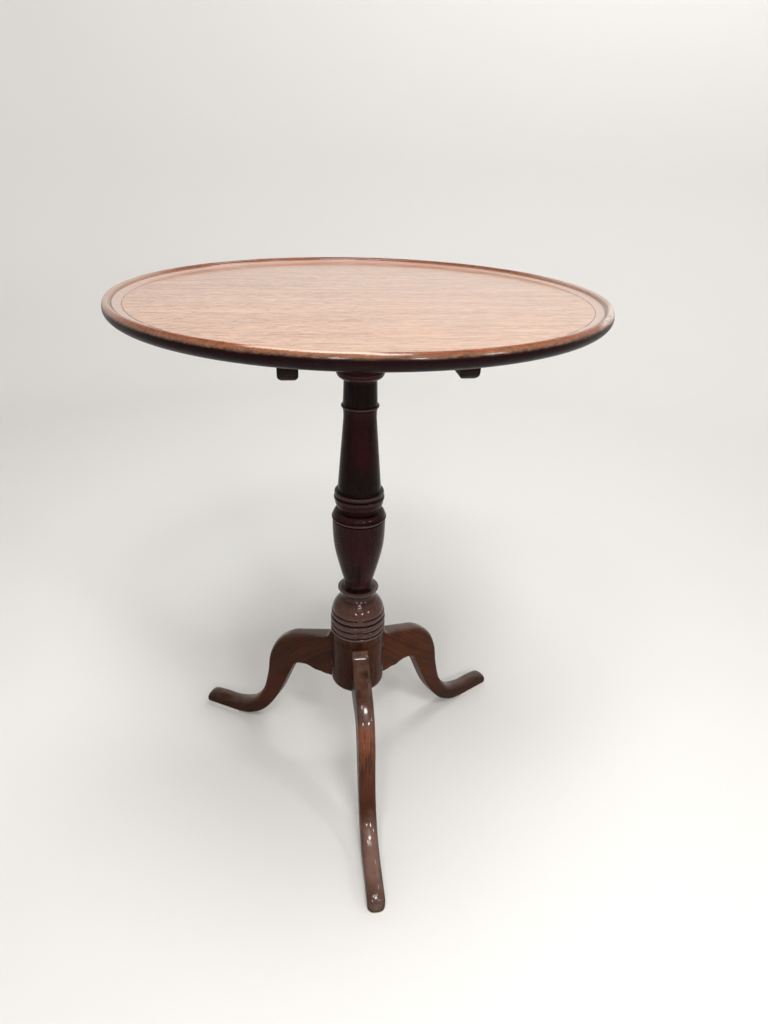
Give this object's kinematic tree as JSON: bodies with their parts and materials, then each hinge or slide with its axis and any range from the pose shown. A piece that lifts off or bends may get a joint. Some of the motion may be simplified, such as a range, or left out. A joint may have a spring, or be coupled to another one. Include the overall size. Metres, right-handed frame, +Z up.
{
  "type": "tilt top table",
  "caption": "Dished round wooden top that tips upright on a block above a turned column with cabriole legs, and is kept level by a sliding brass catch.",
  "frame": {"origin": "on the floor, on the column's axis", "axes": "+Z up along the column, -Y along the front leg, +X to the right as seen from the front"},
  "size_m": [0.5594, 0.5594, 0.71],
  "materials": {
    "top_wood": "polished, worn",
    "dark_wood": "polished, dark",
    "leg_wood": "polished, worn",
    "plain_wood": "unpolished",
    "pad_felt": "felt",
    "brass": "aged",
    "iron": "blackened",
    "steel": "dull"
  },
  "bodies": {
    "stand": {"column": "dark_wood", "tenon_wedge": "plain_wood", "tilt_block": "plain_wood", "strike_plate": "brass", "strike_screw_left": "brass", "strike_screw_right": "brass", "leg_front": "leg_wood", "leg_left": "leg_wood", "leg_right": "leg_wood", "foot_pad_front": "pad_felt", "foot_pad_left": "pad_felt", "foot_pad_right": "pad_felt", "base_brace": "iron", "brace_screw_front_inner": "steel", "brace_screw_front_outer": "steel", "brace_screw_left_inner": "steel", "brace_screw_left_outer": "steel", "brace_screw_right_inner": "steel", "brace_screw_right_outer": "steel", "brace_screw_centre": "steel"},
    "top": {"table_top": "top_wood", "batten_left": "dark_wood", "batten_right": "dark_wood", "batten_screw_left_1": "steel", "batten_screw_left_2": "steel", "batten_screw_left_3": "steel", "batten_screw_left_4": "steel", "batten_screw_right_1": "steel", "batten_screw_right_2": "steel", "batten_screw_right_3": "steel", "batten_screw_right_4": "steel", "catch_plate": "brass", "catch_guide_rear": "brass", "catch_guide_front": "brass", "catch_spring": "steel", "catch_screw_1": "brass", "catch_screw_2": "brass", "catch_screw_3": "brass", "catch_screw_4": "brass"},
    "bolt": {"catch_bolt": "brass", "catch_knob": "brass"}
  },
  "joints": [
    {"name": "top_tilt", "type": "hinge", "parent": "stand", "child": "top", "pos_m": [0, 0.043, 0.6727], "axis": [-1, 0, 0], "range_deg": [0, 90]},
    {"name": "catch_slide", "type": "slide", "parent": "top", "child": "bolt", "axis": [0, 1, 0], "range_m": [0, 0.0075]}
  ]
}
